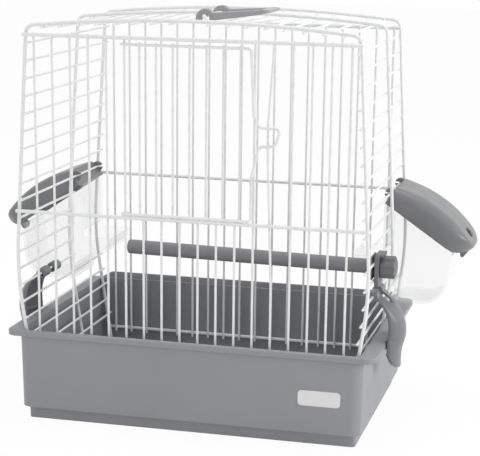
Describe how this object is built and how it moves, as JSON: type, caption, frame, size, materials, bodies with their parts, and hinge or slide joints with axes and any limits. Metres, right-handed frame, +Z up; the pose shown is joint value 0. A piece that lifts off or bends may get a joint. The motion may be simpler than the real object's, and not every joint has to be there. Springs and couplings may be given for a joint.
{
  "type": "bird travel carrier",
  "caption": "Small wire cage for carrying a bird, on a deep moulded tray, with two hopper feeders, a perch, a hinged door, tray clips and a folding handle.",
  "frame": {"origin": "centre of the underside of the tray", "axes": "+Z up, +X to the right of someone facing the door, +Y from the door to the back"},
  "size_m": [0.4396, 0.215, 0.351],
  "materials": {
    "white_wire": "white coated steel wire",
    "grey_tray": "satin grey plastic",
    "grey_lid": "satin grey plastic",
    "grey_clip": "satin grey plastic",
    "grey_handle": "satin grey plastic",
    "grey_perch": "satin grey plastic",
    "clear_cup": "clear plastic"
  },
  "bodies": {
    "carrier": {"base_tray": "grey_tray", "feeder_cup_left": "clear_cup", "feeder_cup_right": "clear_cup", "front_bars": "white_wire", "front_cross_wires": "white_wire", "front_hoop": "white_wire", "handle_rail": "white_wire", "latch_bar": "white_wire", "middle_hoop": "white_wire", "perch_plate": "grey_perch", "perch_rod": "grey_perch", "rear_bars": "white_wire", "rear_cross_wires": "white_wire", "rear_hoop": "white_wire", "roof_wires": "white_wire", "side_wires_left_lower": "white_wire", "side_wires_left_port": "white_wire", "side_wires_left_upper": "white_wire", "side_wires_right_lower": "white_wire", "side_wires_right_port": "white_wire", "side_wires_right_upper": "white_wire"},
    "door": {"door_frame": "white_wire", "door_bars": "white_wire"},
    "carry_handle": {"handle": "grey_handle"},
    "lid_left": {"feeder_lid_left": "grey_lid"},
    "lid_right": {"feeder_lid_right": "grey_lid"},
    "clip_left": {"tray_clip_left": "grey_clip"},
    "clip_right": {"tray_clip_right": "grey_clip"},
    "perch_screw_knob": {"perch_knob": "grey_perch"}
  },
  "joints": [
    {"name": "door_hinge", "type": "hinge", "parent": "carrier", "child": "door", "pos_m": [-0.05425, -0.0975, 0.253], "axis": [0, 0, -1], "range_deg": [0, 150]},
    {"name": "handle_hinge", "type": "hinge", "parent": "carrier", "child": "carry_handle", "pos_m": [0.0035, -0.036, 0.3444], "axis": [0, -1, 0], "range_deg": [0, 172]},
    {"name": "lid_right_hinge", "type": "hinge", "parent": "carrier", "child": "lid_right", "pos_m": [0.14499, 0.061, 0.1905], "axis": [0, -1, 0], "range_deg": [0, 75]},
    {"name": "lid_left_hinge", "type": "hinge", "parent": "carrier", "child": "lid_left", "pos_m": [-0.14499, 0.061, 0.1905], "axis": [0, 1, 0], "range_deg": [0, 75]},
    {"name": "clip_right_hinge", "type": "hinge", "parent": "carrier", "child": "clip_right", "pos_m": [0.14677, -0.036, 0.118], "axis": [0, -1, 0], "range_deg": [0, 72]},
    {"name": "clip_left_hinge", "type": "hinge", "parent": "carrier", "child": "clip_left", "pos_m": [-0.14677, -0.036, 0.118], "axis": [0, 1, 0], "range_deg": [0, 72]},
    {"name": "perch_knob_turn", "type": "hinge", "parent": "carrier", "child": "perch_screw_knob", "pos_m": [0.1589, -0.049, 0.1432], "axis": [1, 0, 0], "continuous": true}
  ]
}
